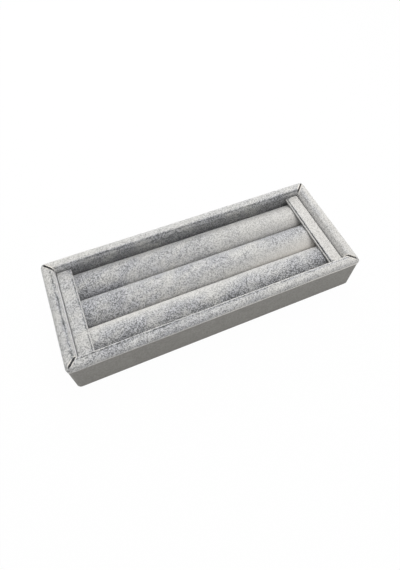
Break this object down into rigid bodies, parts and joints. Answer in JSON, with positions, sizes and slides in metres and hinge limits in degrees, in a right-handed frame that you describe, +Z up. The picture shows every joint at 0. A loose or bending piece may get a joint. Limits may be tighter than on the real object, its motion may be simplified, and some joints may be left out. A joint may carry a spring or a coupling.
{
  "type": "jewelry tray",
  "caption": "Long velvet-lined ring tray with padded mitred rails, soft rolls that grip rings between them, and wrapped bars over the roll ends.",
  "frame": {"origin": "middle of the tray's underside, on the surface that it stands on", "axes": "+X along the tray's length to the right, +Y to its back, +Z up"},
  "size_m": [0.23, 0.091, 0.035],
  "materials": {
    "velvet": "crushed grey velvet with a mottled nap",
    "band": "smooth matte leatherette, warm grey",
    "fibreboard": "raw fibreboard",
    "greyboard": "raw greyboard",
    "foam": "soft open-cell foam",
    "felt": "thin pressed felt"
  },
  "bodies": {
    "tray": {"side_band": "band", "base_board": "greyboard", "base_cover": "felt", "floor_liner": "velvet", "front_wall_board": "fibreboard", "front_rail_padding": "foam", "front_rail_velvet": "velvet", "back_wall_board": "fibreboard", "back_rail_padding": "foam", "back_rail_velvet": "velvet", "left_wall_board": "fibreboard", "left_rail_padding": "foam", "left_rail_velvet": "velvet", "right_wall_board": "fibreboard", "right_rail_padding": "foam", "right_rail_velvet": "velvet"},
    "ring_insert": {"insert_card": "greyboard", "front_roll_foam": "foam", "front_roll_velvet": "velvet", "middle_roll_foam": "foam", "middle_roll_velvet": "velvet", "back_roll_foam": "foam", "back_roll_velvet": "velvet"},
    "left_end_bar": {"left_bar_board": "greyboard", "left_bar_velvet": "velvet"},
    "right_end_bar": {"right_bar_board": "greyboard", "right_bar_velvet": "velvet"}
  },
  "joints": [
    {"name": "insert_lift", "type": "slide", "parent": "tray", "child": "ring_insert", "axis": [0, 0, 1], "range_m": [0, 0.045]},
    {"name": "left_bar_lift", "type": "slide", "parent": "ring_insert", "child": "left_end_bar", "axis": [0, 0, 1], "range_m": [0, 0.025]},
    {"name": "right_bar_lift", "type": "slide", "parent": "ring_insert", "child": "right_end_bar", "axis": [0, 0, 1], "range_m": [0, 0.025]}
  ]
}
